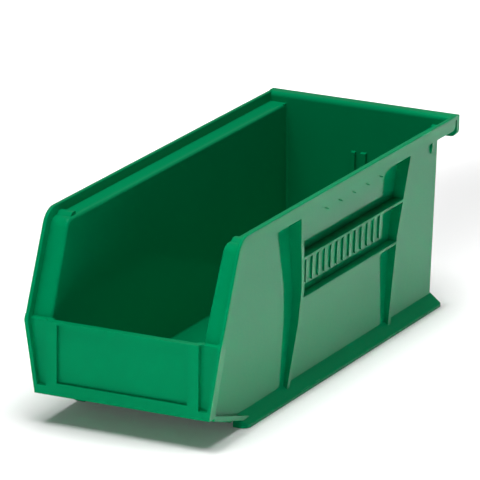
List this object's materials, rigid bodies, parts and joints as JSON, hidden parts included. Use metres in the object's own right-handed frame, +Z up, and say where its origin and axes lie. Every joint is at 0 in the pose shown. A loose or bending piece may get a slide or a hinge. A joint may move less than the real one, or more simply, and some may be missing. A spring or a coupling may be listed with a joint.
{
  "type": "stackable hanging storage bin",
  "caption": "Long narrow open-top storage bin with a lowered hopper front, label recess, stacking ledges, foot rails, ribbed sides and a rear hanging lip.",
  "frame": {"origin": "middle of the footprint, on the surface the foot rails stand on", "axes": "+X across the width, +Y along the length from the hopper front to the hanging lip, +Z up"},
  "size_m": [0.1048, 0.2762, 0.1016],
  "materials": {
    "moulded_plastic": "injection-moulded green polypropylene, glossy outside walls, slightly softer inside"
  },
  "bodies": {
    "root": {"back_wall": "moulded_plastic", "divider_guide_left": "moulded_plastic", "divider_guide_right": "moulded_plastic", "floor_panel": "moulded_plastic", "front_label_panel": "moulded_plastic", "front_ramp": "moulded_plastic", "hanger_lip": "moulded_plastic", "hanger_shelf": "moulded_plastic", "label_frame_bottom": "moulded_plastic", "label_frame_left": "moulded_plastic", "label_frame_right": "moulded_plastic", "label_frame_top": "moulded_plastic", "left_base_rail": "moulded_plastic", "left_blank_ridges": "moulded_plastic", "left_finger_grip": "moulded_plastic", "left_front_flange": "moulded_plastic", "left_front_rib": "moulded_plastic", "left_front_web": "moulded_plastic", "left_ledge_stop": "moulded_plastic", "left_lower_grip_bar": "moulded_plastic", "left_rear_nib": "moulded_plastic", "left_rear_rib": "moulded_plastic", "left_rim_skirt": "moulded_plastic", "left_side_wall": "moulded_plastic", "left_stacking_ledge": "moulded_plastic", "left_toe_block": "moulded_plastic", "left_toe_lip": "moulded_plastic", "left_upper_grip_bar": "moulded_plastic", "rear_rim": "moulded_plastic", "right_base_rail": "moulded_plastic", "right_blank_ridges": "moulded_plastic", "right_finger_grip": "moulded_plastic", "right_front_flange": "moulded_plastic", "right_front_rib": "moulded_plastic", "right_front_web": "moulded_plastic", "right_ledge_stop": "moulded_plastic", "right_lower_grip_bar": "moulded_plastic", "right_rear_nib": "moulded_plastic", "right_rear_rib": "moulded_plastic", "right_rim_skirt": "moulded_plastic", "right_side_wall": "moulded_plastic", "right_stacking_ledge": "moulded_plastic", "right_toe_block": "moulded_plastic", "right_toe_lip": "moulded_plastic", "right_upper_grip_bar": "moulded_plastic"}
  },
  "joints": []
}
